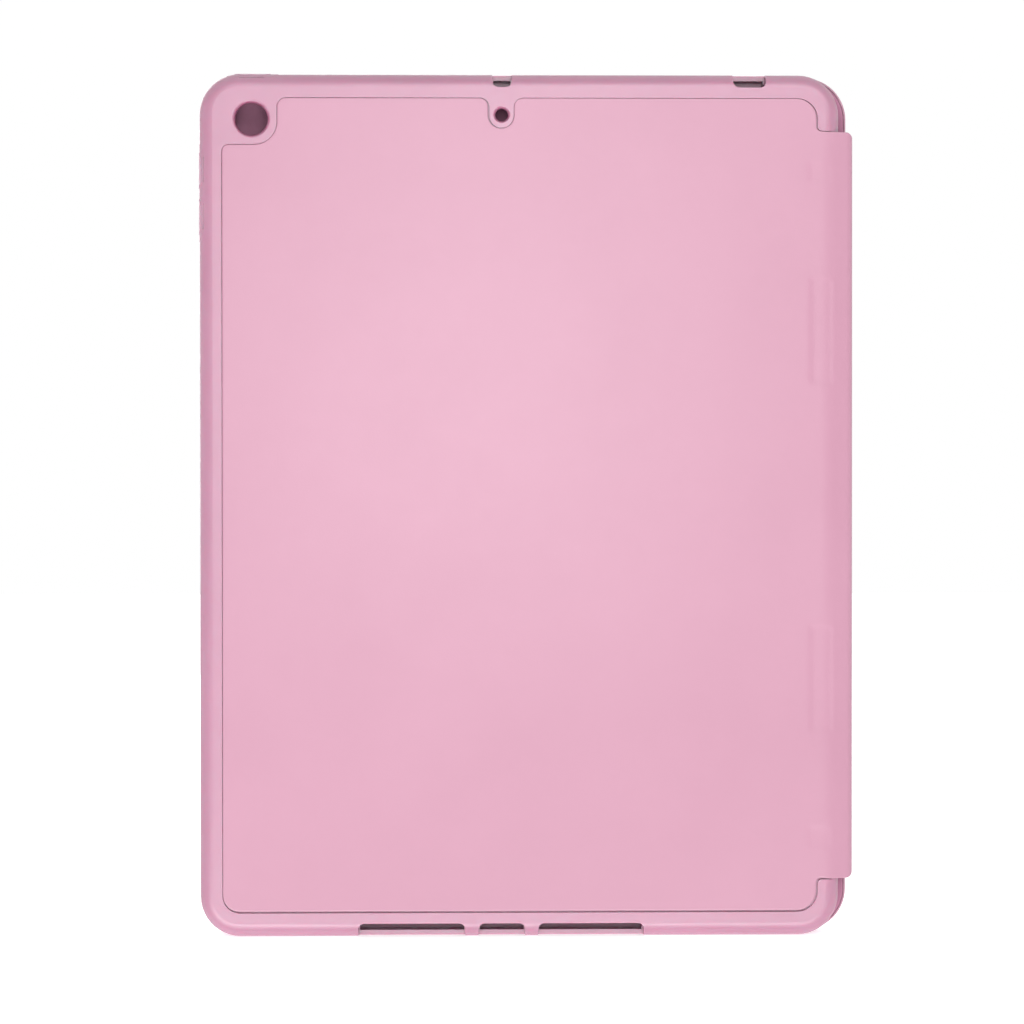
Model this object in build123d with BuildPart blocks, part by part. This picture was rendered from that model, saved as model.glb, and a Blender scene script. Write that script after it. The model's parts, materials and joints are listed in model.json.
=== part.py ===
"""Folio case for a 10.2 inch tablet: soft tray shell, back skin, spine and three-fold cover.

Frame: upright, +Z along the tablet's height, back face towards -Y, front cover towards +Y,
spine on the +X side. All sizes in millimetres.
"""

import os

from build123d import *

os.makedirs("parts", exist_ok=True)

# ---- where the tablet's centre sits in the frame
TABLET_X = -7.175
TABLET_Z = 128.0

# ---- tray shell
SHELL_L = -89.6
SHELL_R = 100.25
SHELL_H = 256.0
SHELL_CORNER = 12.0
SHOULDER_R = 4.2
FRONT_R = 0.7
Y_BACK = -6.65
Y_FLOOR = -4.65
Y_LIP = 2.95
Y_FRONT = 4.25
BAY_W = 174.5
BAY_H = 251.0
BAY_R = 10.2
BAY_FLOOR_R = 1.9
LIP_OVER = 1.3
WALL_SIDE = -SHELL_L - BAY_W / 2
WALL_END = SHELL_H / 2 - BAY_H / 2

# ---- back skin and the recess it lies in
SKIN_L = -82.5
SKIN_R = 93.5
SKIN_V = 120.4
SKIN_T = 0.8
Y_RECESS = -5.90
SKIN_GAP = 0.28
SPINE_V = 110.8
SKIN_END = 97.4
CAM_STEP_U = -66.2
CAM_STEP_V = 106.6
MIC_HALF = 3.85
MIC_STEP_V = 111.5

# ---- holes through the back
CAM_U = -74.0
CAM_V = 114.4
CAM_R = 4.8
CAM_FLARE = 1.0
MIC_U = 0.0
MIC_V = 115.7
MIC_R = 1.9
MIC_FLARE = 0.6

# ---- openings in the side walls: centre u, width
NOTCH_IN = 4.2
LEDGE_Y = -1.5
LEDGE_T = 1.5
UNDERCUT = 1.6
UNDERCUT_SIDE = 0.4
TOP_NOTCHES = [(0.1, 5.8), (73.5, 9.8)]
BOTTOM_NOTCHES = [(-26.8, 31.8), (-0.05, 13.9), (26.4, 31.4)]

# ---- stylus groove on the spine side
GROOVE_L = 88.65
GROOVE_R = 98.25
GROOVE_V = 104.0
WINDOW_L = 91.3
WINDOW_R = 97.2
WINDOW_V0 = 35.5
WINDOW_V1 = 67.5
END_HOLE_V = 98.5

# ---- buttons
BOSS_RISE = 0.12
PAD_RISE = 0.25
POCKET_IN = 1.4
TRAVEL = 0.4
PAD_GAP = 0.2
STEM_R = 1.2
STEM_HOLE_R = 1.4
STEM_Y = -1.2
BOSS_Y = -2.05
BOSS_DEPTH = 7.9
PAD_Y = -1.95
PAD_DEPTH = 5.6
SLIT_W = 0.45
SLIT_L = 7.7
SLIT_IN = 1.4
SLIT_BOTTOM = -5.1
POWER_U = -73.9
POWER_BOSS = 15.4
POWER_PAD = 11.2
VOL_V = 92.9
VOL_BOSS = 29.0
VOL_PAD = 11.2
VOL_UP_V = 99.5
VOL_DOWN_V = 85.8

# ---- cover: three folding panels
Y_LINING = 4.50
Y_BOARD = 5.00
Y_SKIN = 6.00
Y_OUT = 6.70
COVER_L = -90.1
COVER_R = 103.6
COVER_LOW = -128.0
COVER_TOP = 128.5
COVER_CORNER = 12.5
HINGE_EDGE = 101.3
HINGE_SLOT_V = 111.3
CREASE_12 = -25.6
CREASE_23 = 39.8
CREASE_GAP = 2.0
BOARD_GAP = 3.2
RIM = 0.6

# ---- spine
SPINE_IN = 102.25
SPINE_BOARD = 102.75
SPINE_SKIN = 103.75
SPINE_OUT = 104.45
SPINE_Y0 = -3.4
SPINE_Y1 = 4.0

# ---- magnets and steel plate let into the boards: u, v, width, height
EDGE_MAGNETS = {
    "edge_magnet_upper": (-84.5, 62.0, 6.0, 20.0),
    "edge_magnet_lower": (-84.5, -62.0, 6.0, 20.0),
    "wake_magnet": (-82.0, -8.0, 10.0, 10.0),
}
STAND_PLATE = (92.5, 0.0, 8.0, 120.0)
POCKET_GAP = 0.1


def at_y(y):
    """Sketch plane parallel to the back: local x to +X, local y to +Z, extrudes towards -Y."""
    return Plane(origin=(TABLET_X, y, TABLET_Z), x_dir=(1, 0, 0), z_dir=(0, -1, 0))


def from_left(u):
    """Sketch plane across X: local x to +Y, local y to +Z, extrudes towards +X."""
    return Plane(origin=(TABLET_X + u, 0, TABLET_Z), x_dir=(0, 1, 0), z_dir=(1, 0, 0))


def from_top(v):
    """Sketch plane across Z: local x to +X, local y to -Y, extrudes towards -Z."""
    return Plane(origin=(TABLET_X, 0, TABLET_Z + v), x_dir=(1, 0, 0), z_dir=(0, 0, -1))


def skin_points(grow, end):
    """Corner points and radii of the back skin's outline, grown outwards by grow."""
    g = grow
    corners = [
        (SKIN_L - g, -SKIN_V - g, 5.0 + g),
        (SKIN_R + g, -SKIN_V - g, 6.0 + g),
        (SKIN_R + g, -SPINE_V - g, 1.4 - g),
        (end, -SPINE_V - g, 0.0),
        (end, SPINE_V + g, 0.0),
        (SKIN_R + g, SPINE_V + g, 1.4 - g),
        (SKIN_R + g, SKIN_V + g, 6.0 + g),
        (MIC_U + MIC_HALF - g, SKIN_V + g, 2.6 + g),
        (MIC_U + MIC_HALF - g, MIC_STEP_V + g, MIC_HALF - g - 0.01),
        (MIC_U - MIC_HALF + g, MIC_STEP_V + g, MIC_HALF - g - 0.01),
        (MIC_U - MIC_HALF + g, SKIN_V + g, 2.6 + g),
        (CAM_STEP_U - g, SKIN_V + g, 2.6 + g),
        (CAM_STEP_U - g, CAM_STEP_V + g, 6.8 - g),
        (SKIN_L - g, CAM_STEP_V + g, 2.0 + g),
    ]
    points = [(c[0], c[1]) for c in corners]
    radii = [c[2] for c in corners]
    return points, radii


def mid(a, b):
    return (a + b) / 2


SHELL_W = SHELL_R - SHELL_L
SHELL_MID = mid(SHELL_L, SHELL_R)
RECESS_POINTS, RECESS_RADII = skin_points(SKIN_GAP, SHELL_R + 3)
SKIN_POINTS, SKIN_RADII = skin_points(0.0, SKIN_END)


def grown_block(grow):
    """The shell's outer form, grown on its sides and shoulder by grow."""
    with BuildPart() as block:
        with BuildSketch(at_y(Y_FRONT)):
            with Locations((SHELL_MID, 0)):
                RectangleRounded(SHELL_W + 2 * grow, SHELL_H + 2 * grow, SHELL_CORNER + grow)
        extrude(amount=Y_FRONT - Y_BACK)
        fillet(block.edges().group_by(Axis.Y)[0], radius=SHOULDER_R + grow)
    return block.part


BOSS_FORM = grown_block(BOSS_RISE)
PAD_FORM = grown_block(PAD_RISE)

# =====================================================================  tray shell

# raised pads round the buttons
with BuildPart() as volume_boss:
    with BuildSketch(from_left(SHELL_L - 5)):
        with Locations((BOSS_Y, VOL_V)):
            RectangleRounded(BOSS_DEPTH, VOL_BOSS, BOSS_DEPTH / 2 - 0.01)
    extrude(amount=10)
    add(BOSS_FORM, mode=Mode.INTERSECT)

with BuildPart() as power_boss:
    with BuildSketch(from_top(SHELL_H / 2 + 5)):
        with Locations((POWER_U, -BOSS_Y)):
            RectangleRounded(POWER_BOSS, BOSS_DEPTH, BOSS_DEPTH / 2 - 0.01)
    extrude(amount=10)
    add(BOSS_FORM, mode=Mode.INTERSECT)

# the space the tablet fills, with a rounded floor edge
with BuildPart() as bay:
    with BuildSketch(at_y(Y_LIP)):
        RectangleRounded(BAY_W, BAY_H, BAY_R)
    extrude(amount=Y_LIP - Y_FLOOR)
    fillet(bay.edges().group_by(Axis.Y)[0], radius=BAY_FLOOR_R)

# the space the stylus fills
with BuildPart() as groove:
    with BuildSketch(at_y(Y_FRONT + 1)):
        with Locations((mid(GROOVE_L, GROOVE_R), 0)):
            RectangleRounded(GROOVE_R - GROOVE_L, 2 * GROOVE_V, 3.0)
    extrude(amount=Y_FRONT + 1 - Y_FLOOR)
    fillet(groove.edges().group_by(Axis.Y)[0], radius=2.0)

with BuildPart() as back_shell:
    with BuildSketch(at_y(Y_FRONT)):
        with Locations((SHELL_MID, 0)):
            RectangleRounded(SHELL_W, SHELL_H, SHELL_CORNER)
    extrude(amount=Y_FRONT - Y_BACK)
    fillet(back_shell.edges().group_by(Axis.Y)[0], radius=SHOULDER_R)
    fillet(back_shell.edges().group_by(Axis.Y)[-1], radius=FRONT_R)
    add(volume_boss.part)
    add(power_boss.part)
    # tablet bay, the opening inside its lip, and the stylus groove
    add(bay.part, mode=Mode.SUBTRACT)
    with BuildSketch(at_y(Y_FRONT + 1)):
        RectangleRounded(BAY_W - 2 * LIP_OVER, BAY_H - 2 * LIP_OVER, BAY_R - LIP_OVER)
    extrude(amount=Y_FRONT + 1 - Y_LIP, mode=Mode.SUBTRACT)
    add(groove.part, mode=Mode.SUBTRACT)
    # shallow recess for the back skin, running out over the spine-side shoulder
    with BuildSketch(at_y(Y_RECESS)):
        with BuildLine():
            FilletPolyline(*RECESS_POINTS, radius=RECESS_RADII, close=True)
        make_face()
    extrude(amount=3, mode=Mode.SUBTRACT)
    # camera and microphone holes
    with BuildSketch(at_y(Y_FLOOR + 1)):
        with Locations((CAM_U, CAM_V)):
            Circle(CAM_R)
        with Locations((MIC_U, MIC_V)):
            Circle(MIC_R)
    extrude(amount=5, mode=Mode.SUBTRACT)
    # windows that let the stylus show through the floor of its groove
    with BuildSketch(at_y(Y_FLOOR + 1)):
        for side in (-1, 1):
            with Locations((mid(WINDOW_L, WINDOW_R), side * mid(WINDOW_V0, WINDOW_V1))):
                RectangleRounded(WINDOW_R - WINDOW_L, WINDOW_V1 - WINDOW_V0, 1.5)
            with Locations((mid(GROOVE_L, GROOVE_R), side * END_HOLE_V)):
                RectangleRounded(5.4, 6.4, 2.6)
    extrude(amount=3, mode=Mode.SUBTRACT)
    # openings in the top and bottom walls, each with a ledge left in front
    with BuildSketch(at_y(LEDGE_Y)):
        for centre, width in TOP_NOTCHES:
            with Locations((centre, SHELL_H / 2 - NOTCH_IN + 5)):
                RectangleRounded(width, 10, 1.9)
        for centre, width in BOTTOM_NOTCHES:
            with Locations((centre, -SHELL_H / 2 + NOTCH_IN - 5)):
                RectangleRounded(width, 10, 1.9)
    extrude(amount=12, mode=Mode.SUBTRACT)
    # behind each ledge the opening goes on down to the lip
    with BuildSketch(at_y(Y_LIP)):
        for centre, width in TOP_NOTCHES:
            with Locations((centre, SHELL_H / 2 - LEDGE_T - UNDERCUT / 2)):
                Rectangle(width - 2 * UNDERCUT_SIDE, UNDERCUT)
        for centre, width in BOTTOM_NOTCHES:
            with Locations((centre, -SHELL_H / 2 + LEDGE_T + UNDERCUT / 2)):
                Rectangle(width - 2 * UNDERCUT_SIDE, UNDERCUT)
    extrude(amount=Y_LIP - LEDGE_Y + 1, mode=Mode.SUBTRACT)
    # button pockets and the holes for their stems
    with BuildSketch(from_left(SHELL_L - 5)):
        for centre in (VOL_UP_V, VOL_DOWN_V):
            with Locations((PAD_Y, centre)):
                RectangleRounded(PAD_DEPTH, VOL_PAD, PAD_DEPTH / 2 - 0.01)
    extrude(amount=5 + POCKET_IN, mode=Mode.SUBTRACT)
    with BuildSketch(from_top(SHELL_H / 2 + 5)):
        with Locations((POWER_U, -PAD_Y)):
            RectangleRounded(POWER_PAD, PAD_DEPTH, PAD_DEPTH / 2 - 0.01)
    extrude(amount=5 + POCKET_IN, mode=Mode.SUBTRACT)
    with BuildSketch(from_left(SHELL_L - 5)):
        for centre in (VOL_UP_V, VOL_DOWN_V):
            with Locations((STEM_Y, centre)):
                Circle(STEM_HOLE_R)
    extrude(amount=5 + WALL_SIDE + 0.5, mode=Mode.SUBTRACT)
    with BuildSketch(from_top(SHELL_H / 2 + 5)):
        with Locations((POWER_U, -STEM_Y)):
            Circle(STEM_HOLE_R)
    extrude(amount=5 + WALL_END + 0.5, mode=Mode.SUBTRACT)
    # slits behind the button pads that let them flex
    with BuildSketch(at_y(SLIT_BOTTOM)):
        for centre in (VOL_UP_V, VOL_DOWN_V):
            with Locations((SHELL_L + SLIT_IN, centre)):
                Rectangle(SLIT_W, SLIT_L)
        with Locations((POWER_U, SHELL_H / 2 - SLIT_IN)):
            Rectangle(SLIT_L, SLIT_W)
    extrude(amount=3, mode=Mode.SUBTRACT)
    # flared mouths of the camera and microphone holes
    cam_edge = back_shell.edges().filter_by(GeomType.CIRCLE).filter_by(
        lambda e: abs(e.radius - CAM_R) < 0.01 and abs(e.center().Y - Y_BACK) < 0.01
    )
    fillet(cam_edge, radius=CAM_FLARE)
    mic_edge = back_shell.edges().filter_by(GeomType.CIRCLE).filter_by(
        lambda e: abs(e.radius - MIC_R) < 0.01 and abs(e.center().Y - Y_BACK) < 0.01
    )
    chamfer(mic_edge, length=MIC_FLARE)

back_shell.part.label = "back_shell"
export_step(back_shell.part, "parts/back_shell.step")

with BuildPart() as back_skin:
    with BuildSketch(at_y(Y_RECESS)):
        with BuildLine():
            FilletPolyline(*SKIN_POINTS, radius=SKIN_RADII, close=True)
        make_face()
    extrude(amount=SKIN_T)

back_skin.part.label = "back_skin"
export_step(back_skin.part, "parts/back_skin.step")

# =====================================================================  buttons

VOLUME_BUTTONS = {"volume_up_button": VOL_UP_V, "volume_down_button": VOL_DOWN_V}
for name, centre in VOLUME_BUTTONS.items():
    with BuildPart() as button:
        with BuildSketch(from_left(SHELL_L - 5)):
            with Locations((PAD_Y, centre)):
                RectangleRounded(
                    PAD_DEPTH - 2 * PAD_GAP, VOL_PAD - 2 * PAD_GAP, PAD_DEPTH / 2 - PAD_GAP - 0.01
                )
        extrude(amount=5 + POCKET_IN - TRAVEL - 0.05)
        add(PAD_FORM, mode=Mode.INTERSECT)
        with BuildSketch(from_left(SHELL_L + POCKET_IN - TRAVEL - 0.15)):
            with Locations((STEM_Y, centre)):
                Circle(STEM_R)
        extrude(amount=WALL_SIDE - POCKET_IN + TRAVEL + 0.15)
    button.part.label = name
    export_step(button.part, "parts/" + name + ".step")

with BuildPart() as power_button:
    with BuildSketch(from_top(SHELL_H / 2 + 5)):
        with Locations((POWER_U, -PAD_Y)):
            RectangleRounded(
                POWER_PAD - 2 * PAD_GAP, PAD_DEPTH - 2 * PAD_GAP, PAD_DEPTH / 2 - PAD_GAP - 0.01
            )
    extrude(amount=5 + POCKET_IN - TRAVEL - 0.05)
    add(PAD_FORM, mode=Mode.INTERSECT)
    with BuildSketch(from_top(SHELL_H / 2 - POCKET_IN + TRAVEL + 0.15)):
        with Locations((POWER_U, -STEM_Y)):
            Circle(STEM_R)
    extrude(amount=WALL_END - POCKET_IN + TRAVEL + 0.15)

power_button.part.label = "power_button"
export_step(power_button.part, "parts/power_button.step")

# =====================================================================  spine

with BuildPart() as spine_skin:
    with BuildSketch(from_left(SPINE_SKIN)):
        with Locations((mid(SPINE_Y0, SPINE_Y1), 0)):
            Rectangle(SPINE_Y1 - SPINE_Y0, 2 * SPINE_V)
    extrude(amount=SPINE_OUT - SPINE_SKIN)

spine_skin.part.label = "spine_skin"
export_step(spine_skin.part, "parts/spine_skin.step")

with BuildPart() as spine_board:
    with BuildSketch(from_left(SPINE_BOARD)):
        with Locations((mid(SPINE_Y0, SPINE_Y1), 0)):
            Rectangle(SPINE_Y1 - SPINE_Y0 - 0.8, 2 * SPINE_V - 2)
    extrude(amount=SPINE_SKIN - SPINE_BOARD)

spine_board.part.label = "spine_board"
export_step(spine_board.part, "parts/spine_board.step")

with BuildPart() as spine_lining:
    with BuildSketch(from_left(SPINE_IN)):
        with Locations((mid(SPINE_Y0, SPINE_Y1), 0)):
            Rectangle(SPINE_Y1 - SPINE_Y0, 2 * SPINE_V - 0.8)
    extrude(amount=SPINE_BOARD - SPINE_IN)

spine_lining.part.label = "spine_lining"
export_step(spine_lining.part, "parts/spine_lining.step")

# =====================================================================  cover panels

COVER_W = COVER_R - COVER_L
COVER_H = COVER_TOP - COVER_LOW
COVER_MID = (mid(COVER_L, COVER_R), mid(COVER_LOW, COVER_TOP))
# left and right limits of each panel's strip, counted from the free edge
STRIPS = [
    (COVER_L - 5, CREASE_12 - CREASE_GAP / 2),
    (CREASE_12 + CREASE_GAP / 2, CREASE_23 - CREASE_GAP / 2),
    (CREASE_23 + CREASE_GAP / 2, COVER_R + 5),
]
BOARD_EXTRA = (BOARD_GAP - CREASE_GAP) / 2


def panel_sketch(strip, inset, trim, hinge_trim):
    """Outline of one panel: the cover's rounded outline cut to its strip."""
    with BuildSketch() as outline:
        with Locations(COVER_MID):
            RectangleRounded(COVER_W - 2 * inset, COVER_H - 2 * inset, COVER_CORNER - inset)
        with Locations((mid(strip[0] + trim, strip[1] - trim), COVER_MID[1])):
            Rectangle(strip[1] - strip[0] - 2 * trim, COVER_H + 10, mode=Mode.INTERSECT)
        with Locations((HINGE_EDGE - hinge_trim + 5, 0)):
            Rectangle(10, 2 * HINGE_SLOT_V + 2 * hinge_trim, mode=Mode.SUBTRACT)
    return outline.sketch


def board_inserts(number):
    if number == 1:
        return EDGE_MAGNETS
    if number == 3:
        return {"stand_plate": STAND_PLATE}
    return {}


for number in (1, 2, 3):
    strip = STRIPS[number - 1]
    with BuildPart() as cover_skin:
        with BuildSketch(at_y(Y_OUT)):
            add(panel_sketch(strip, 0.0, 0.0, 0.0))
        extrude(amount=Y_OUT - Y_LINING)
        with BuildSketch(at_y(Y_SKIN)):
            add(panel_sketch(strip, RIM, -5.0, RIM))
            if number == 3:
                with Locations((HINGE_EDGE - 2, 0)):
                    Rectangle(6, 2 * HINGE_SLOT_V - 2)
        extrude(amount=3, mode=Mode.SUBTRACT)
    cover_skin.part.label = "cover_skin_%d" % number
    export_step(cover_skin.part, "parts/cover_skin_%d.step" % number)

    with BuildPart() as cover_board:
        with BuildSketch(at_y(Y_SKIN)):
            add(panel_sketch(strip, RIM + 0.1, BOARD_EXTRA, 0.8))
            for u, v, w, h in board_inserts(number).values():
                with Locations((u, v)):
                    Rectangle(w + 2 * POCKET_GAP, h + 2 * POCKET_GAP, mode=Mode.SUBTRACT)
        extrude(amount=Y_SKIN - Y_BOARD)
    cover_board.part.label = "cover_board_%d" % number
    export_step(cover_board.part, "parts/cover_board_%d.step" % number)

    with BuildPart() as cover_lining:
        with BuildSketch(at_y(Y_BOARD)):
            add(panel_sketch(strip, RIM + 0.1, 0.0, RIM + 0.1))
        extrude(amount=Y_BOARD - Y_LINING)
    cover_lining.part.label = "cover_lining_%d" % number
    export_step(cover_lining.part, "parts/cover_lining_%d.step" % number)

    for name, insert in board_inserts(number).items():
        with BuildPart() as piece:
            with BuildSketch(at_y(Y_SKIN - 0.05)):
                with Locations((insert[0], insert[1])):
                    Rectangle(insert[2], insert[3])
            extrude(amount=Y_SKIN - Y_BOARD - 0.1)
        piece.part.label = name
        export_step(piece.part, "parts/" + name + ".step")
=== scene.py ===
"""Folio case for a 10.2 inch tablet, seen from behind: skins, linings, materials, lights and camera.

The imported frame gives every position. u and v are millimetres from the tablet's centre, to the
right and up as seen from behind; y runs from the case's back to its front.
"""

import json
import math

import bmesh
import bpy
import numpy as np
from mathutils import Matrix, Vector
from mathutils.geometry import delaunay_2d_cdt


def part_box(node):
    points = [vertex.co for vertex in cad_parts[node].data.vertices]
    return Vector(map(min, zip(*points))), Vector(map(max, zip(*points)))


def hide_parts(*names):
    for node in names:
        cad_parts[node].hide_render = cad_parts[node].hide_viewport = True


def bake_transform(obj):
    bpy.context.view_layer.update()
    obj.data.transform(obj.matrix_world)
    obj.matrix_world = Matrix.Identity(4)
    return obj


MM = 0.001

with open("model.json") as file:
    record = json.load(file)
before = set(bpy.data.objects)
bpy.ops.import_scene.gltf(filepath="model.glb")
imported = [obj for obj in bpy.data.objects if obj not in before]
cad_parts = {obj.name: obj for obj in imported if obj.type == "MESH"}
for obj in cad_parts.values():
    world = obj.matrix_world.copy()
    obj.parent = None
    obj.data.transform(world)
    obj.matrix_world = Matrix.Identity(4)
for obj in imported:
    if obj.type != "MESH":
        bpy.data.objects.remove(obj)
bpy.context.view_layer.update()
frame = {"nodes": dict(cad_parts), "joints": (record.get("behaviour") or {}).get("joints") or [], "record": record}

# ------------------------------------------------------------------ places from the frame

rest = next(m for m in frame["record"]["mounts"] if m["name"] == "tablet_rest")
TABLET_X = rest["pos_m"][0] / MM
TABLET_Z = rest["pos_m"][2] / MM


def node_mm(name):
    """Lowest and highest corner of a CAD node as (u, y, v) in millimetres."""
    lo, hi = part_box(name)
    return [(c[0] / MM - TABLET_X, c[1] / MM, c[2] / MM - TABLET_Z) for c in (lo, hi)]


def joint_mm(name):
    """A hinge's place as (u, y) in millimetres."""
    joint = next(j for j in frame["joints"] if j["name"] == name)
    return joint["pos_m"][0] / MM - TABLET_X, joint["pos_m"][1] / MM


BACK_LO, BACK_HI = node_mm("back_skin")
SPINE_LO, SPINE_HI = node_mm("spine_skin")
SPINE_LINING_LO, SPINE_LINING_HI = node_mm("spine_lining")
EDGE_LO, EDGE_HI = node_mm("cover_skin_1")
_, HINGE_HI = node_mm("cover_skin_3")
LINING_LO, LINING_HI = node_mm("cover_lining_1")

SPINE_HINGE = joint_mm("spine_hinge")
COVER_HINGE = joint_mm("cover_hinge")
INNER_FOLD = joint_mm("inner_fold")
OUTER_FOLD = joint_mm("outer_fold")

# ------------------------------------------------------------------ sizes of the soft work, mm

BACK_Y = BACK_LO[1]
BACK_T = BACK_HI[1] - BACK_LO[1]
SPINE_V = SPINE_HI[2]
SPINE_OUT = SPINE_HI[0]
SPINE_SEAM_Y = 0.3
COVER_OUT = EDGE_HI[1]
RIM_CLEAR = 0.05
COVER_RIM = EDGE_HI[1] - EDGE_LO[1] - RIM_CLEAR
COVER_MID = (EDGE_HI[1] + EDGE_LO[1]) / 2
COVER_L = EDGE_LO[0]
COVER_R = HINGE_HI[0]
COVER_LOW = EDGE_LO[2]
COVER_TOP = EDGE_HI[2]
COVER_CORNER = 12.5
SLOT_CLEAR = 0.5
SLOT_V = SPINE_V + SLOT_CLEAR
SKIN_T = SPINE_HI[0] - SPINE_LO[0]
LINING_Y = LINING_LO[1]
LINING_T = LINING_HI[1] - LINING_LO[1]
LINING_IN = LINING_LO[0] - COVER_L

# outline of the back skin: the steps round the camera and the microphone
BACK_L = BACK_LO[0]
BACK_R = 93.5
BACK_V = BACK_HI[2]
BACK_SHIFT_V = 0.20
BACK_SHIFT_U = -0.17
MIC_HALF = 3.85
MIC_V = 111.5
CAM_U = -66.2
CAM_V = 106.6
BACK_LOW_LEFT_R = 5.0
BACK_TOP_LEFT_R = 2.0
BACK_RIGHT_R = 6.0
SPINE_NOTCH_R = 1.4
STEP_R = 2.6
MIC_NOTCH_R = 3.8
CAM_NOTCH_R = 6.8

# the round holes in the back, whose rims get painted shade: a deeper pink multiplied into the plastic's colour,
# standing in for the shade inside their flares
CAMERA_HOLE = ((TABLET_X - 74.0) * MM, (TABLET_Z + 114.4) * MM)
MIC_HOLE = (TABLET_X * MM, (TABLET_Z + 115.7) * MM)
HOLE_PAINTED_SHADE = (0.70, 0.42, 0.54)
CAMERA_PAINTED_SHADE_MM = (4.9, 5.8)
MIC_PAINTED_SHADE_MM = (1.95, 2.5)

# how the back skin leaves the shell and turns round the spine
BEND_U = 95.0
EASE = 4.0
SLOPE = math.radians(13.0)
BACK_TURN_R = 2.5
FRONT_TURN_R = 2.2
THIN_T = 0.45
THIN_OVER = 1.6
RIM_MORE = 0.01
SPINE_EDGE_DROP = 1.3
DROP_FROM = 90.0
DROP_OVER = 20.0

# seams where two skins meet edge to edge
SEAM_HINGE = 100.2
SEAM_MIDDLE = (INNER_FOLD[0] + OUTER_FOLD[0]) / 2
SEAM_RIM = 0.65

# creases between the cover's panels
CREASE_HALF = 1.9
CREASE_PINCH = 0.5

# the skin sinks a little over the stylus windows, and its inner side less than its outer side;
# each window is u and v from and to, and how far the skin sinks
DENT_SOFT = 1.7
DENT_LOST = 0.6
WINDOWS = [(91.0, 98.8, 35.2, 67.8, 0.17), (90.4, 98.4, 94.8, 102.2, 0.10)]

# ------------------------------------------------------------------ how finely the sheets are cut, mm

GRID = 7
NEAR_BEND_STEP = 0.7
BACK_TURN_STEP = 0.45
FRONT_FLAT_STEP = 0.8
FRONT_TURN_STEP = 0.35
WINDOW_STEP = 0.9
WINDOW_REACH = 3
CREASE_STEP = 0.3
CREASE_REACH = 2.4
CLOSEST_MARKS = 0.12
EDGE_CLEAR = 0.35
CORNER_CLEAR = 0.4
CORNER_SHARE = 1.3
LARGE_CORNER = 3
LARGE_ARC_STEPS = 14
SMALL_ARC_STEPS = 9

# ------------------------------------------------------------------ small maths


def smooth(t):
    t = min(1.0, max(0.0, t))
    return t * t * (3 - 2 * t)


def box_weight(value, low, high, soft):
    """1 between low and high, fading to 0 over soft outside them."""
    return smooth((value - low + soft) / soft) * smooth((high + soft - value) / soft)


def spread(a, b, step):
    """Evenly spaced values from a to b, at most step apart."""
    n = max(1, math.ceil(abs(b - a) / step - 1e-6))
    return [a + (b - a) * i / n for i in range(n + 1)]


def merge(*runs):
    """Sorted values of several runs, without near repeats."""
    out = []
    for value in sorted(v for run in runs for v in run):
        if not out or value - out[-1] > CLOSEST_MARKS:
            out.append(value)
    return out


class Path:
    """A line in the (u, y) plane: pieces of (length, end heading), each turning evenly."""

    STEP = 0.05

    def __init__(self, start, heading, pieces):
        self.points = [Vector(start)]
        self.headings = [heading]
        self.marks = [0.0]
        for length, end_heading in pieces:
            n = max(1, round(length / self.STEP))
            first = self.headings[-1]
            for i in range(n):
                angle = first + (end_heading - first) * (i + 0.5) / n
                move = Vector((math.cos(angle), math.sin(angle))) * (length / n)
                self.points.append(self.points[-1] + move)
                self.headings.append(first + (end_heading - first) * (i + 1) / n)
                self.marks.append(self.marks[-1] + length / n)
        self.length = self.marks[-1]

    def at(self, s):
        """Point and heading at distance s; straight on before the start."""
        if s <= 0:
            heading = self.headings[0]
            return self.points[0] + Vector((math.cos(heading), math.sin(heading))) * s, heading
        i = min(int(np.searchsorted(self.marks, s)), len(self.marks) - 1)
        t = min(1.0, (s - self.marks[i - 1]) / (self.marks[i] - self.marks[i - 1]))
        point = self.points[i - 1].lerp(self.points[i], t)
        return point, self.headings[i - 1] + (self.headings[i] - self.headings[i - 1]) * t

    def offset(self, s, depth):
        """The point at distance s, moved by depth to the inner side."""
        point, heading = self.at(s)
        return point + Vector((-math.sin(heading), math.cos(heading))) * depth


# ------------------------------------------------------------------ outlines and sheets

SMOOTH_ANGLE = math.radians(38.0)
WELD_M = 2e-6
DEGENERATE_M = 1e-6
SAME_POINT_MM = 1e-5


def corner_arc(at, before, after, radius, steps):
    """Points round one corner, from the side towards before to the side towards after."""
    if radius == 0:
        return [at]
    to_before = (before - at).normalized()
    to_after = (after - at).normalized()
    half = to_before.angle(to_after) / 2
    centre = at + (to_before + to_after).normalized() * (radius / math.sin(half))
    reach = radius / math.tan(half)
    first = at + to_before * reach - centre
    turn = first.angle_signed(at + to_after * reach - centre)
    return [centre + Matrix.Rotation(-turn * k / steps, 2) @ first for k in range(steps + 1)]


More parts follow.
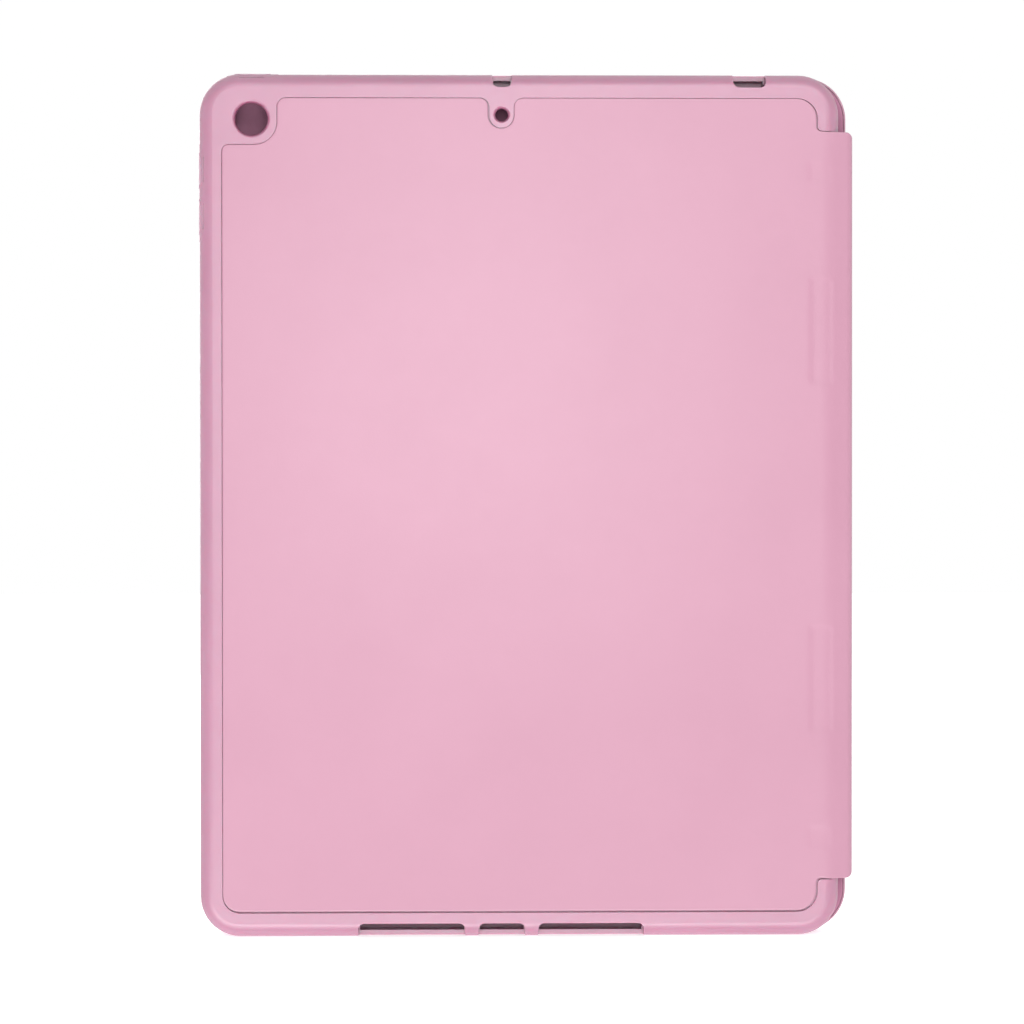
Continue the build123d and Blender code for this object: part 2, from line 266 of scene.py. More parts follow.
def ring(corners, inset, s_marks, v_marks):
    """Outline points for corners (s, v, radius, out_s, out_v), moved in by inset.

    out_s and out_v say which way is outwards, and are 0 where the edge is a seam. A negative
    radius is a corner that turns the other way. Returns the points and which lie on a seam,
    clear of its ends.
    """
    places = []
    for s, v, radius, out_s, out_v in corners:
        grown = max(0.02, radius - inset) if radius > 0 else inset - radius
        places.append((Vector((s - out_s * inset, v - out_v * inset)), grown if radius else 0))
    count = len(places)
    arcs = []
    for i, (at, radius) in enumerate(places):
        steps = LARGE_ARC_STEPS if abs(corners[i][2]) > LARGE_CORNER else SMALL_ARC_STEPS
        arcs.append(corner_arc(at, places[i - 1][0], places[(i + 1) % count][0], radius, steps))
    points, on_seam = [], []
    for i, arc in enumerate(arcs):
        points.extend(arc)
        on_seam.extend([False] * len(arc))
        corner, target = corners[i], corners[(i + 1) % count]
        last, nxt = arc[-1], arcs[(i + 1) % count][0]
        along = 0 if corner[1] == target[1] else 1
        seam = along == 1 and corner[3] == 0 and target[3] == 0
        low_corner, high_corner = sorted((corner, target), key=lambda c: c[along])
        low = low_corner[along] + CORNER_CLEAR + abs(low_corner[2]) * CORNER_SHARE
        high = high_corner[along] - CORNER_CLEAR - abs(high_corner[2]) * CORNER_SHARE
        marks = [m for m in (s_marks, v_marks)[along] if low < m < high]
        if nxt[along] < last[along]:
            marks.reverse()
        for m in marks:
            points.append(last.lerp(nxt, (m - last[along]) / (nxt[along] - last[along])))
            clear_of_ends = min(m - low_corner[along], high_corner[along] - m) >= SEAM_RIM - 1e-6
            on_seam.append(seam and clear_of_ends)
    return points, on_seam


def inside(points, outline, margin=0.0):
    """Which points are within an outline and at least margin from it."""
    p = np.array([tuple(q) for q in points])
    a = np.array([tuple(q) for q in outline])
    b = np.roll(a, -1, axis=0)
    step = b - a
    rel = p[:, None, :] - a[None, :, :]
    crosses = (a[:, 1] > p[:, 1:2]) != (b[:, 1] > p[:, 1:2])
    height = np.where(step[:, 1] == 0, 1.0, step[:, 1])
    left = p[:, 0:1] < a[:, 0] + rel[:, :, 1] / height * step[:, 0]
    within = (crosses & left).sum(axis=1) % 2 == 1
    length2 = np.maximum((step**2).sum(axis=1), 1e-12)
    t = np.clip((rel * step).sum(axis=2) / length2, 0, 1)
    away = np.linalg.norm(rel - t[:, :, None] * step, axis=2).min(axis=1)
    return within & (away >= margin)


def fill(outline, s_marks, v_marks):
    """Triangles that fill an outline: extra points, and triples that number outline then extras."""
    grid = [(s, v) for s in s_marks for v in v_marks]
    kept = inside(grid, outline, EDGE_CLEAR)
    extras = [Vector(g) for g, keep in zip(grid, kept) if keep]
    loop = [list(range(len(outline)))]
    flat = [Vector(p) for p in outline] + extras
    verts, _, tris, origins, _, _ = delaunay_2d_cdt(flat, [], loop, 1, SAME_POINT_MM, True)
    centres = [sum((verts[k] for k in tri), Vector((0, 0))) / 3 for tri in tris]
    first = [min(sources) if sources else None for sources in origins]
    held = inside(centres, outline)
    return extras, [tuple(first[k] for k in tri) for tri, keep in zip(tris, held) if keep]


def sheet_mesh(name, corners, s_marks, v_marks, rings, place):
    """A closed sheet: an outer fill, rings that turn its edge, and an inner fill.

    rings is a list of (inset, layer); place(s, v, layer, seam) gives the point in (u, y, v).
    Faces of the inner fill use the second material slot.
    """
    outlines = [ring(corners, inset, s_marks, v_marks) for inset, _ in rings]
    size = len(outlines[0][0])
    coords = []
    faces = []
    for (points, on_seam), (_, layer) in zip(outlines, rings):
        coords.extend(place(p.x, p.y, layer, seam) for p, seam in zip(points, on_seam))
    for level in range(len(rings) - 1):
        for i in range(size):
            j = (i + 1) % size
            a, b = level * size, (level + 1) * size
            faces.append((a + i, b + i, b + j, a + j))
    inner_from = None
    for level in (0, len(rings) - 1):
        extras, tris = fill(outlines[level][0], s_marks, v_marks)
        start = len(coords)
        coords.extend(place(p.x, p.y, rings[level][1], False) for p in extras)
        numbers = [level * size + k for k in range(size)] + [start + k for k in range(len(extras))]
        if level:
            inner_from = len(faces)
            tris = [tuple(reversed(tri)) for tri in tris]
        faces.extend(tuple(numbers[k] for k in tri) for tri in tris)
    in_frame = [((u + TABLET_X) * MM, y * MM, (v + TABLET_Z) * MM) for u, y, v in coords]
    mesh = bpy.data.meshes.new(name)
    mesh.from_pydata(in_frame, [], faces)
    for polygon in mesh.polygons[inner_from:]:
        polygon.material_index = 1
    work = bmesh.new()
    work.from_mesh(mesh)
    bmesh.ops.remove_doubles(work, verts=work.verts, dist=WELD_M)
    bmesh.ops.dissolve_degenerate(work, edges=work.edges, dist=DEGENERATE_M)
    work.to_mesh(mesh)
    work.free()
    return mesh


def soft_piece(name, shape, looks, nodes):
    """Makes a sheet with its outer and inner material, in place of its CAD nodes.

    shape holds what sheet_mesh takes after the name.
    """
    mesh = sheet_mesh(name, *shape)
    piece = bpy.data.objects.new(name, mesh)
    bpy.context.scene.collection.objects.link(piece)
    for look in looks:
        mesh.materials.append(look)
    for polygon in mesh.polygons:
        polygon.use_smooth = True
    mesh.set_sharp_from_angle(angle=SMOOTH_ANGLE)
    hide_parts(*nodes)
    return piece


# ------------------------------------------------------------------ materials


def linear(r, g, b):
    """An sRGB colour, 0 to 255, as the linear values that shaders take."""
    return tuple(((c / 255 + 0.055) / 1.055) ** 2.4 for c in (r, g, b))


class Look:
    """A material whose pattern lies in the object's own metres."""

    def __init__(self, name, roughness=0.5, specular=0.5, metallic=0.0):
        self.material = bpy.data.materials.new(name)
        self.material.use_nodes = True
        self.tree = self.material.node_tree
        self.shader = self.tree.nodes["Principled BSDF"]
        self.place = self.tree.nodes.new("ShaderNodeTexCoord").outputs["Object"]
        self.base = None
        self.normal = None
        self.shader.inputs["Roughness"].default_value = roughness
        self.shader.inputs["Specular IOR Level"].default_value = specular
        self.shader.inputs["Metallic"].default_value = metallic

    def stretched(self, stretch):
        """The place with each of its parts multiplied."""
        mapping = self.tree.nodes.new("ShaderNodeMapping")
        mapping.inputs["Scale"].default_value = stretch
        self.tree.links.new(self.place, mapping.inputs["Vector"])
        return mapping.outputs["Vector"]

    def noise(self, size_mm, detail=3.0, rough=0.55, stretch=None):
        """Cloudy noise whose largest features are about size_mm across."""
        made = self.tree.nodes.new("ShaderNodeTexNoise")
        made.inputs["Scale"].default_value = 1 / (size_mm * MM)
        made.inputs["Detail"].default_value = detail
        made.inputs["Roughness"].default_value = rough
        source = self.stretched(stretch) if stretch else self.place
        self.tree.links.new(source, made.inputs["Vector"])
        return made.outputs["Fac"]

    def cells(self, size_mm):
        """Distance from the middle of cells about size_mm across."""
        made = self.tree.nodes.new("ShaderNodeTexVoronoi")
        made.inputs["Scale"].default_value = 1 / (size_mm * MM)
        self.tree.links.new(self.place, made.inputs["Vector"])
        return made.outputs["Distance"]

    def colour(self, source, low, high):
        """Blends two sRGB colours over the middle of a pattern's range."""
        made = self.tree.nodes.new("ShaderNodeValToRGB")
        ends = made.color_ramp.elements
        ends[0].position = 0.3
        ends[1].position = 0.7
        ends[0].color = (*linear(*low), 1)
        ends[1].color = (*linear(*high), 1)
        self.tree.links.new(source, made.inputs["Fac"])
        self.base = made.outputs["Color"]
        self.tree.links.new(self.base, self.shader.inputs["Base Color"])

    def painted_shade_round(self, at, inner_mm, outer_mm, shade_colour):
        """Paints shade round a line along Y by multiplying the colour: fully within inner_mm, fading out at
        outer_mm.
        """
        flat = self.stretched((1.0, 0.0, 1.0))
        away = self.tree.nodes.new("ShaderNodeVectorMath")
        away.operation = "DISTANCE"
        self.tree.links.new(flat, away.inputs[0])
        away.inputs[1].default_value = (at[0], 0.0, at[1])
        near = self.tree.nodes.new("ShaderNodeMapRange")
        near.inputs["From Min"].default_value = inner_mm * MM
        near.inputs["From Max"].default_value = outer_mm * MM
        near.inputs["To Min"].default_value = 1.0
        near.inputs["To Max"].default_value = 0.0
        self.tree.links.new(away.outputs["Value"], near.inputs["Value"])
        made = self.tree.nodes.new("ShaderNodeMixRGB")
        made.blend_type = "MULTIPLY"
        made.inputs["Color2"].default_value = (*shade_colour, 1)
        self.tree.links.new(near.outputs["Result"], made.inputs["Fac"])
        self.tree.links.new(self.base, made.inputs["Color1"])
        self.base = made.outputs["Color"]
        self.tree.links.new(self.base, self.shader.inputs["Base Color"])

    def roughness(self, source, low, high):
        """Lets the roughness follow a pattern between two values."""
        made = self.tree.nodes.new("ShaderNodeMapRange")
        made.inputs["To Min"].default_value = low
        made.inputs["To Max"].default_value = high
        self.tree.links.new(source, made.inputs["Value"])
        self.tree.links.new(made.outputs["Result"], self.shader.inputs["Roughness"])

    def bump(self, height, strength, depth_mm):
        """Adds fine relief on top of any before it."""
        made = self.tree.nodes.new("ShaderNodeBump")
        made.inputs["Strength"].default_value = strength
        made.inputs["Distance"].default_value = depth_mm * MM
        self.tree.links.new(height, made.inputs["Height"])
        if self.normal:
            self.tree.links.new(self.normal, made.inputs["Normal"])
        self.normal = made.outputs["Normal"]
        self.tree.links.new(self.normal, self.shader.inputs["Normal"])


def shell_look():
    """Soft-touch moulded plastic: fine matte grain, faint clouds."""
    look = Look("tpu_soft_matte", specular=1.0)
    look.colour(look.noise(30, 4), (164, 116, 138), (168, 120, 142))
    # painted shade round the camera and microphone holes, where the real rims fall into shade
    look.painted_shade_round(CAMERA_HOLE, *CAMERA_PAINTED_SHADE_MM, HOLE_PAINTED_SHADE)
    look.painted_shade_round(MIC_HOLE, *MIC_PAINTED_SHADE_MM, HOLE_PAINTED_SHADE)
    look.roughness(look.noise(8, 4), 0.36, 0.42)
    look.shader.inputs["Subsurface Weight"].default_value = 0.6
    look.shader.inputs["Subsurface Radius"].default_value = (1.0, 0.3, 0.45)
    look.shader.inputs["Subsurface Scale"].default_value = 2.0 * MM
    look.bump(look.noise(0.2, 2), 0.12, 0.05)
    look.bump(look.noise(11, 3), 0.05, 0.6)
    return look.material


def skin_look():
    """Coated leather: smooth and matte, with a very fine pore grain and a slight unevenness."""
    look = Look("coated_leather", specular=0.5)
    look.colour(look.noise(40, 5), (169, 123, 142), (172, 126, 145))
    look.roughness(look.noise(4, 5), 0.32, 0.36)
    look.bump(look.cells(0.5), 0.12, 0.06)
    look.bump(look.noise(1.4, 4), 0.08, 0.1)
    look.bump(look.noise(60, 3), 0.05, 2.0)
    return look.material


def suede_look():
    """Microfibre lining: short nap that lies in soft clouds."""
    look = Look("microfibre_nap", roughness=0.95, specular=0.15)
    look.colour(look.noise(11, 6, 0.75, (1.0, 1.0, 0.5)), (154, 104, 127), (166, 116, 139))
    look.shader.inputs["Sheen Weight"].default_value = 0.2
    look.shader.inputs["Sheen Roughness"].default_value = 0.5
    look.shader.inputs["Sheen Tint"].default_value = (*linear(228, 170, 195), 1)
    look.bump(look.noise(0.4, 5, 0.75), 0.35, 0.15)
    look.bump(look.noise(4, 4), 0.12, 0.4)
    return look.material


def board_look():
    """Grey pressed board with fibres along the case."""
    look = Look("pressed_board", roughness=0.92, specular=0.2)
    look.colour(look.noise(2.4, 6, 0.7, (1.0, 1.0, 0.25)), (150, 144, 134), (178, 171, 160))
    look.bump(look.noise(1.1, 5, 0.7), 0.3, 0.15)
    return look.material


def metal_look(name, low, high, roughness, stretch):
    """A plated magnet or a rolled strip, with fine streaks."""
    look = Look(name, metallic=1.0)
    grain = look.noise(0.7, 4, 0.6, stretch)
    look.colour(grain, low, high)
    look.roughness(grain, roughness - 0.06, roughness + 0.08)
    look.bump(grain, 0.08, 0.04)
    return look.material


SHELL_LOOK = shell_look()
SKIN_LOOK = skin_look()
SUEDE_LOOK = suede_look()
BOARD_LOOK = board_look()
MAGNET_LOOK = metal_look("nickel_plate", (176, 178, 182), (205, 206, 208), 0.28, (1, 1, 1))
STEEL_LOOK = metal_look("rolled_steel", (150, 152, 156), (182, 184, 188), 0.38, (1, 1, 0.05))

CAD_LOOKS = {
    "tpu": SHELL_LOOK,
    "tpu_button": SHELL_LOOK,
    "pu_leather": SKIN_LOOK,
    "microfibre": SUEDE_LOOK,
    "board": BOARD_LOOK,
    "magnet": MAGNET_LOOK,
    "steel_plate": STEEL_LOOK,
}
for node in frame["nodes"].values():
    for cad_slot in node.material_slots:
        cad_slot.material = CAD_LOOKS[cad_slot.material.name]

# ------------------------------------------------------------------ back skin and outer half of the spine

# (inset, (share of the body's thickness, share of the turned edge's depth))
CUT_EDGE = [
    (0.60, (0, 0)),
    (0.32, (0, 0)),
    (0.10, (0.06, 0)),
    (0, (0.36, 0)),
    (0, (0, 0.55)),
    (0, (0, 0.90)),
    (0.14, (0, 1)),
    (0.50, (0, 1)),
    (0.56, (1, 0)),
]
TURNED_EDGE = [
    (0.90, (0, 0)),
    (0.50, (0.05, 0)),
    (0.20, (0.22, 0)),
    (0.05, (0.50, 0)),
    (0, (0, 0.45)),
    (0, (0, 0.78)),
    (0.10, (0, 0.93)),
    (0.30, (0, 1)),
    (0.58, (0, 1)),
    (0.62, (1, 0)),
]

QUARTER = math.pi / 2
turn_start_u = SPINE_OUT - BACK_TURN_R * (1 - math.sin(SLOPE))
slope_run = (turn_start_u - BEND_U - EASE * math.cos(SLOPE / 2)) / math.cos(SLOPE)
SLOPE_END = EASE + slope_run
TURN_END = SLOPE_END + BACK_TURN_R * (QUARTER - SLOPE)
bend = [(EASE, SLOPE), (slope_run, SLOPE), (BACK_TURN_R * (QUARTER - SLOPE), QUARTER)]
turned = Path((BEND_U, BACK_Y), 0.0, bend)
BACK_PATH = Path((BEND_U, BACK_Y), 0.0, bend + [(SPINE_SEAM_Y - turned.points[-1].y, QUARTER)])
BACK_END = BEND_U + BACK_PATH.length


def dent(u, v):
    """How far the skin sinks over the stylus windows."""
    return sum(
        sink
        * box_weight(u, u0 + DENT_SOFT, u1 - DENT_SOFT, DENT_SOFT)
        * box_weight(abs(v), v0 + DENT_SOFT, v1 - DENT_SOFT, DENT_SOFT)
        for u0, u1, v0, v1, sink in WINDOWS
    )


def pulled_in(v, amount):
    """v moved towards the middle, near the ends of the spine only."""
    return v * (1 - amount / SPINE_V * smooth((abs(v) - DROP_FROM) / DROP_OVER))


def back_place(u, v, layer, seam):
    s = u - BEND_U
    turning = smooth((s - SLOPE_END) / (TURN_END - SLOPE_END))
    body = BACK_T + (THIN_T - BACK_T) * smooth(s / THIN_OVER) + (SKIN_T - THIN_T) * turning
    rim = body + RIM_MORE + (COVER_RIM - SKIN_T) * smooth((s - SLOPE_END) / EASE)
    depth = layer[0] * body + layer[1] * rim
    if seam:
        depth = min(depth, body)
    depth += dent(u, v) * (1 - DENT_LOST * min(1.0, layer[0] + layer[1]))
    at = BACK_PATH.offset(s, depth)
    on_panel = 1 - smooth(s / THIN_OVER)
    v += BACK_SHIFT_V * on_panel
    return at.x + BACK_SHIFT_U * on_panel, at.y, pulled_in(v, SPINE_EDGE_DROP * turning)


BACK_CORNERS = [
    (BACK_L, -BACK_V, BACK_LOW_LEFT_R, -1, -1),
    (BACK_R, -BACK_V, BACK_RIGHT_R, 1, -1),
    (BACK_R, -SPINE_V, -SPINE_NOTCH_R, 1, -1),
    (BACK_END, -SPINE_V, 0, 0, -1),
    (BACK_END, SPINE_V, 0, 0, 1),
    (BACK_R, SPINE_V, -SPINE_NOTCH_R, 1, 1),
    (BACK_R, BACK_V, BACK_RIGHT_R, 1, 1),
    (MIC_HALF, BACK_V, STEP_R, -1, 1),
    (MIC_HALF, MIC_V, -MIC_NOTCH_R, -1, 1),
    (-MIC_HALF, MIC_V, -MIC_NOTCH_R, 1, 1),
    (-MIC_HALF, BACK_V, STEP_R, 1, 1),
    (CAM_U, BACK_V, STEP_R, -1, 1),
    (CAM_U, CAM_V, -CAM_NOTCH_R, -1, 1),
    (BACK_L, CAM_V, BACK_TOP_LEFT_R, -1, 1),
]
near_windows = [
    m
    for _, _, v0, v1, _ in WINDOWS
    for m in spread(v0 - WINDOW_REACH, v1 + WINDOW_REACH, WINDOW_STEP)
]
back_v = merge(
    spread(-119, 119, GRID),
    near_windows,
    [-m for m in near_windows],
    [SEAM_RIM - SPINE_V, SPINE_V - SEAM_RIM],
)
back_u = merge(
    spread(BACK_L, 87, GRID),
    spread(88, BEND_U, NEAR_BEND_STEP),
    spread(BEND_U, BACK_END, BACK_TURN_STEP),
)
back = soft_piece(
    "back_skin_wrap",
    (BACK_CORNERS, back_u, back_v, CUT_EDGE, back_place),
    (SKIN_LOOK, SUEDE_LOOK),
    ["back_skin"],
)
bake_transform(back)

# ------------------------------------------------------------------ skin round the hinge to the cover

FRONT_TURN_AT = COVER_OUT - FRONT_TURN_R - SPINE_SEAM_Y
FRONT_PATH = Path(
    (SPINE_OUT, SPINE_SEAM_Y),
    QUARTER,
    [
        (FRONT_TURN_AT, QUARTER),
        (FRONT_TURN_R * QUARTER, 2 * QUARTER),
        (SPINE_OUT - FRONT_TURN_R - SEAM_HINGE, 2 * QUARTER),
    ],
)


def hinge_place(s, v, layer, seam):
    depth = layer[0] * SKIN_T + layer[1] * COVER_RIM
    if seam:
        depth = min(depth, SKIN_T)
    at = FRONT_PATH.offset(s, depth)
    drop = SPINE_EDGE_DROP * (1 - smooth((s - FRONT_TURN_AT) / (FRONT_PATH.length - FRONT_TURN_AT)))
    return at.x, at.y, pulled_in(v, drop)


hinge_corners = [
    (0, -SPINE_V, 0, 0, -1),
    (FRONT_PATH.length, -SPINE_V, 0, 0, -1),
    (FRONT_PATH.length, SPINE_V, 0, 0, 1),
    (0, SPINE_V, 0, 0, 1),
]
hinge_v = spread(-SPINE_V + SEAM_RIM, SPINE_V - SEAM_RIM, GRID)
hinge_s = merge(
    spread(0, FRONT_TURN_AT, FRONT_FLAT_STEP),
    spread(FRONT_TURN_AT, FRONT_PATH.length, FRONT_TURN_STEP),
)
hinge = soft_piece(
    "spine_skin_wrap",
    (hinge_corners, hinge_s, hinge_v, TURNED_EDGE, hinge_place),
    (SKIN_LOOK, SKIN_LOOK),
    ["spine_skin"],
)
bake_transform(hinge)

# ------------------------------------------------------------------ cover skins, s runs to the left


def crease(u):
    """1 in the middle of a crease between panels, fading to 0 beside it."""
    return max(smooth(1 - abs(u - fold[0]) / CREASE_HALF) for fold in (INNER_FOLD, OUTER_FOLD))


def pinched(u, y):
    """y moved towards the middle of the cover at a crease."""
    return COVER_MID + (y - COVER_MID) * (1 - CREASE_PINCH * crease(u))


def cover_place(s, v, layer, seam):
    depth = layer[0] * SKIN_T + layer[1] * COVER_RIM
    if seam:
        depth = min(depth, SKIN_T)
    return -s, pinched(-s, COVER_OUT - depth), v


def fold_marks(low, high, fold_s):
    """Marks across two panels, closer together at the crease between them."""
    return merge(
        spread(low, high, GRID),
        spread(fold_s - CREASE_REACH, fold_s + CREASE_REACH, CREASE_STEP),
    )


COVER_V = merge(
    spread(COVER_LOW + SEAM_RIM, COVER_TOP - SEAM_RIM, GRID),
    [SEAM_RIM - SLOT_V, SLOT_V - SEAM_RIM],
)
inner_corners = [
    (-COVER_R, COVER_LOW, COVER_CORNER, -1, -1),
    (-SEAM_MIDDLE, COVER_LOW, 0, 0, -1),
    (-SEAM_MIDDLE, COVER_TOP, 0, 0, 1),
    (-COVER_R, COVER_TOP, COVER_CORNER, -1, 1),
    (-COVER_R, SLOT_V, 0.6, -1, -1),
    (-SEAM_HINGE, SLOT_V, 0, 0, -1),
    (-SEAM_HINGE, -SLOT_V, 0, 0, 1),
    (-COVER_R, -SLOT_V, 0.6, -1, 1),
]
inner_s = fold_marks(-COVER_R + 1, -SEAM_MIDDLE, -INNER_FOLD[0])
inner = soft_piece(
    "cover_skin_inner_fold",
    (inner_corners, inner_s, COVER_V, TURNED_EDGE, cover_place),
    (SKIN_LOOK, SKIN_LOOK),
    ["cover_skin_3", "cover_skin_2"],
)
outer_corners = [
    (-SEAM_MIDDLE, COVER_LOW, 0, 0, -1),
    (-COVER_L, COVER_LOW, COVER_CORNER, 1, -1),
    (-COVER_L, COVER_TOP, COVER_CORNER, 1, 1),
    (-SEAM_MIDDLE, COVER_TOP, 0, 0, 1),
]
outer_s = fold_marks(-SEAM_MIDDLE, -COVER_L - 1, -OUTER_FOLD[0])
outer = soft_piece(
    "cover_skin_outer_fold",
    (outer_corners, outer_s, COVER_V, TURNED_EDGE, cover_place),
    (SKIN_LOOK, SKIN_LOOK),
    ["cover_skin_1"],
)

# ------------------------------------------------------------------ linings, s runs to the right

LINING_EDGE = [
    (0.50, (0, 0)),
    (0.20, (0.05, 0)),
    (0.05, (0.25, 0)),
    (0, (0.5, 0)),
    (0, (0.85, 0)),
    (0.12, (1, 0)),
    (0.50, (1, 0)),
]
LINING_TURN_R = 0.9
LINING_END_R = 0.5
LINING_TAIL = 0.6
LINING_L = COVER_L + LINING_IN
LINING_R = COVER_R - LINING_IN
LINING_LOW = COVER_LOW + LINING_IN
LINING_TOP = COVER_TOP - LINING_IN
LINING_CORNER = COVER_CORNER - LINING_IN
LINING_SLOT_V = SLOT_V + LINING_IN
HINGE_LINING_V = SPINE_LINING_HI[2]


def lining_place(s, v, layer, seam):
    return s, pinched(s, LINING_Y + layer[0] * LINING_T), v


inner_lining_corners = [
    (SEAM_MIDDLE, LINING_LOW, 0, 0, -1),
    (LINING_R, LINING_LOW, LINING_CORNER, 1, -1),
    (LINING_R, -LINING_SLOT_V, 0.5, 1, 1),
    (SEAM_HINGE, -LINING_SLOT_V, 0, 0, 1),
    (SEAM_HINGE, LINING_SLOT_V, 0, 0, -1),
    (LINING_R, LINING_SLOT_V, 0.5, 1, -1),
    (LINING_R, LINING_TOP, LINING_CORNER, 1, 1),
    (SEAM_MIDDLE, LINING_TOP, 0, 0, 1),
]
inner_lining_s = fold_marks(SEAM_MIDDLE, LINING_R - 1, INNER_FOLD[0])
inner_lining = soft_piece(
    "cover_lining_inner_fold",
    (inner_lining_corners, inner_lining_s, COVER_V, LINING_EDGE, lining_place),
    (SUEDE_LOOK, SUEDE_LOOK),
    ["cover_lining_3", "cover_lining_2"],
)
outer_lining_corners = [
    (LINING_L, LINING_LOW, LINING_CORNER, -1, -1),
    (SEAM_MIDDLE, LINING_LOW, 0, 0, -1),
    (SEAM_MIDDLE, LINING_TOP, 0, 0, 1),
    (LINING_L, LINING_TOP, LINING_CORNER, -1, 1),
]
outer_lining_s = fold_marks(LINING_L + 1, SEAM_MIDDLE, OUTER_FOLD[0])
outer_lining = soft_piece(
    "cover_lining_outer_fold",
    (outer_lining_corners, outer_lining_s, COVER_V, LINING_EDGE, lining_place),
    (SUEDE_LOOK, SUEDE_LOOK),
    ["cover_lining_1"],
)
for skin, lining, near, far, fold in (
    (inner, inner_lining, "hinge_panel", "middle_panel", INNER_FOLD),
    (outer, outer_lining, "middle_panel", "edge_panel", OUTER_FOLD),
):
    for piece in (skin, lining):
        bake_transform(piece)

LINING_FACE_U = SPINE_LINING_LO[0]
lining_straight = LINING_Y - LINING_TURN_R - SPINE_LINING_LO[1]
LINING_PATH = Path(
    (SEAM_HINGE, LINING_Y),
    0.0,
    [
        (LINING_FACE_U - LINING_TURN_R - SEAM_HINGE, 0.0),
        (LINING_TURN_R * QUARTER, -QUARTER),
        (lining_straight, -QUARTER),
        (LINING_END_R * QUARTER, 0.0),
        (LINING_TAIL, 0.0),
    ],
)


def hinge_lining_place(s, v, layer, seam):
    at = LINING_PATH.offset(s, layer[0] * LINING_T)
    return at.x, at.y, v


hinge_lining_corners = [
    (0, -HINGE_LINING_V, 0, 0, -1),
    (LINING_PATH.length, -HINGE_LINING_V, 0.3, 1, -1),
    (LINING_PATH.length, HINGE_LINING_V, 0.3, 1, 1),
    (0, HINGE_LINING_V, 0, 0, 1),
]
hinge_lining_s = spread(0, LINING_PATH.length, CREASE_STEP)
hinge_lining = soft_piece(
    "spine_lining_wrap",
    (hinge_lining_corners, hinge_lining_s, hinge_v, LINING_EDGE, hinge_lining_place),
    (SUEDE_LOOK, SUEDE_LOOK),
    ["spine_lining"],
)
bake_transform(hinge_lining)

# ------------------------------------------------------------------ camera

CAMERA_AT = (-0.01645, -0.75665, 0.13232)
CAMERA_LENS = 89.06
CAMERA_TURNS = (("X", -0.470), ("Y", 0.043), ("Z", -0.937), ("X", 90.0))

camera_data = bpy.data.cameras.new("camera")
camera_data.lens = CAMERA_LENS
camera_data.sensor_width = 36.0
camera_data.clip_start = 0.01
camera = bpy.data.objects.new("camera", camera_data)
bpy.context.scene.collection.objects.link(camera)
camera_place = Matrix.Translation(CAMERA_AT)
for axis, degrees in CAMERA_TURNS:
    camera_place @= Matrix.Rotation(math.radians(degrees), 4, axis)
camera.matrix_world = camera_place
bpy.context.scene.camera = camera

# ------------------------------------------------------------------ light and floor


def softbox(name, at, aim, size, watts):
    data = bpy.data.lights.new(name, "AREA")
    data.shape = "RECTANGLE"
    data.size, data.size_y = size
    data.energy = watts
    lamp = bpy.data.objects.new(name, data)
    bpy.context.scene.collection.objects.link(lamp)
    lamp.location = at
    lamp.rotation_euler = (Vector(aim) - Vector(at)).to_track_quat("-Z", "Y").to_euler()


CASE_MIDDLE = (0, 0, 0.128)
softbox("key_box", (-0.015, -0.95, 0.22), (-0.01, 0, 0.15), (0.30, 0.30), 2.3)
softbox("low_box", (-0.10, -0.61, -0.26), (-0.02, 0, 0.02), (0.8, 0.12), 3.5)
softbox("top_box", (0.18, -0.63, 0.53), (0.02, 0, 0.2), (0.7, 0.16), 2.0)
softbox("cover_box", (-0.3, 0.95, 0.40), CASE_MIDDLE, (0.7, 0.7), 5.0)

world = bpy.data.worlds.new("studio")
world.use_nodes = True
world_tree = world.node_tree
direction = world_tree.nodes.new("ShaderNodeTexCoord").outputs["Generated"]
parts = world_tree.nodes.new("ShaderNodeSeparateXYZ")
world_tree.links.new(direction, parts.inputs["Vector"])


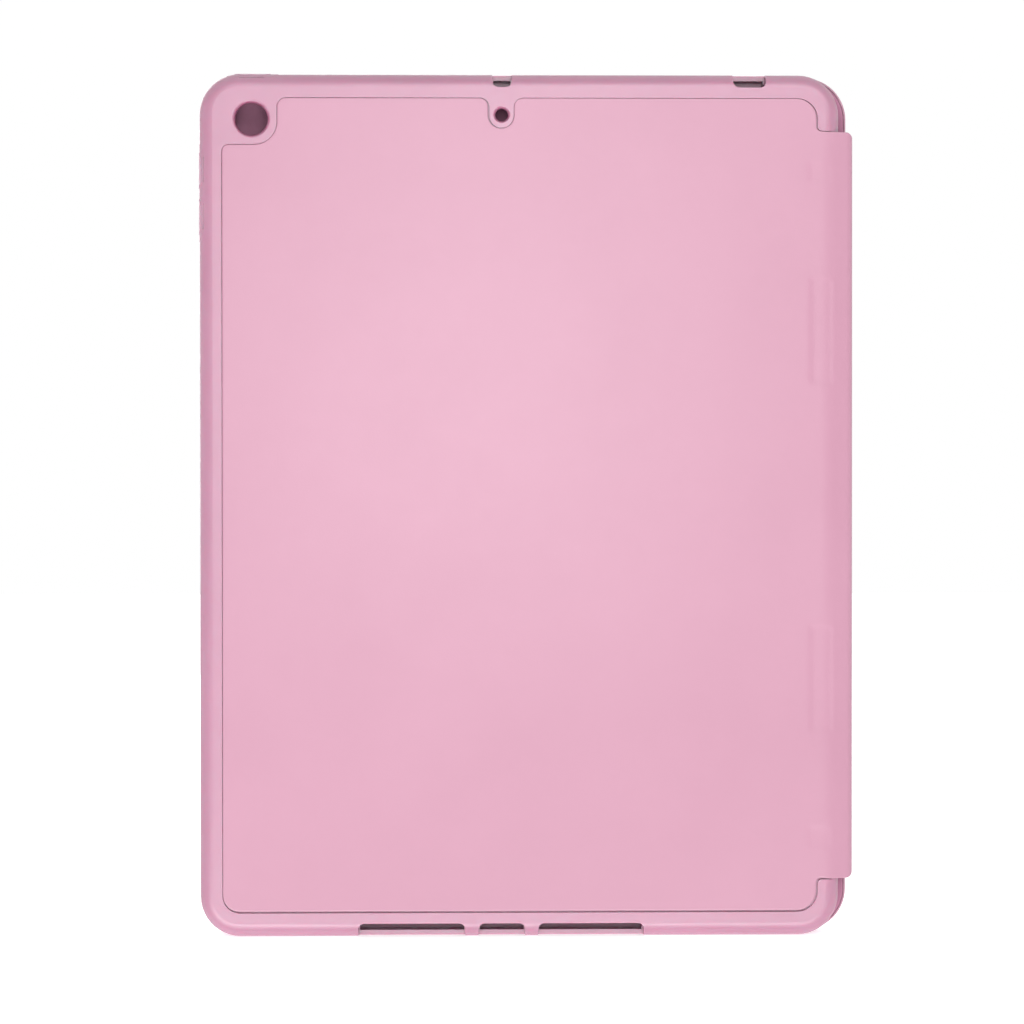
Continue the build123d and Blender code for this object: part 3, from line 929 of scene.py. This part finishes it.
def faded(value, start, end, end_value):
    """1 up to start, changing to end_value at end, for one part of the direction of view."""
    made = world_tree.nodes.new("ShaderNodeMapRange")
    made.interpolation_type = "SMOOTHSTEP"
    made.inputs["From Min"].default_value = start
    made.inputs["From Max"].default_value = end
    made.inputs["To Min"].default_value = 1.0
    made.inputs["To Max"].default_value = end_value
    world_tree.links.new(value, made.inputs["Value"])
    return made.outputs["Result"]


def combined(operation, a, b=None):
    """One operation on one or two values."""
    made = world_tree.nodes.new("ShaderNodeMath")
    made.operation = operation
    for socket, value in zip(made.inputs, (a, b)):
        if value is not None:
            world_tree.links.new(value, socket)
    return made.outputs["Value"]


# a studio whose side walls and near end are dimmer than the sweep behind the case
overhead = faded(parts.outputs["Z"], 0.12, 0.8, 1.15)
sideways = faded(combined("ABSOLUTE", parts.outputs["X"]), 0.2, 0.9, 0.8)
near_end = faded(parts.outputs["Y"], 0.0, -0.4, 0.38)
radiance = combined("MULTIPLY", combined("MULTIPLY", overhead, sideways), near_end)
world_tree.nodes["Background"].inputs["Color"].default_value = (1, 1, 1, 1)
world_tree.links.new(radiance, world_tree.nodes["Background"].inputs["Strength"])
bpy.context.scene.world = world

FLOOR_HALF = 2.5
floor_mesh = bpy.data.meshes.new("floor")
floor_signs = [(-1, -1), (1, -1), (1, 1), (-1, 1)]
floor_corners = [(x * FLOOR_HALF, y * FLOOR_HALF, 0) for x, y in floor_signs]
floor_mesh.from_pydata(floor_corners, [], [(0, 1, 2, 3)])
floor = bpy.data.objects.new("floor", floor_mesh)
bpy.context.scene.collection.objects.link(floor)
floor_look = Look("pale_floor", roughness=0.9, specular=0.2)
floor_look.colour(floor_look.noise(400, 3), (240, 240, 240), (244, 244, 244))
floor_look.shader.inputs["Emission Color"].default_value = (1, 1, 1, 1)
floor_look.shader.inputs["Emission Strength"].default_value = 0.55
floor_mesh.materials.append(floor_look.material)
# the low box shines through the floor, as through a light table
floor.visible_shadow = False
floor.visible_glossy = False

bpy.context.scene.view_settings.view_transform = "Standard"
bpy.context.scene.view_settings.look = "None"
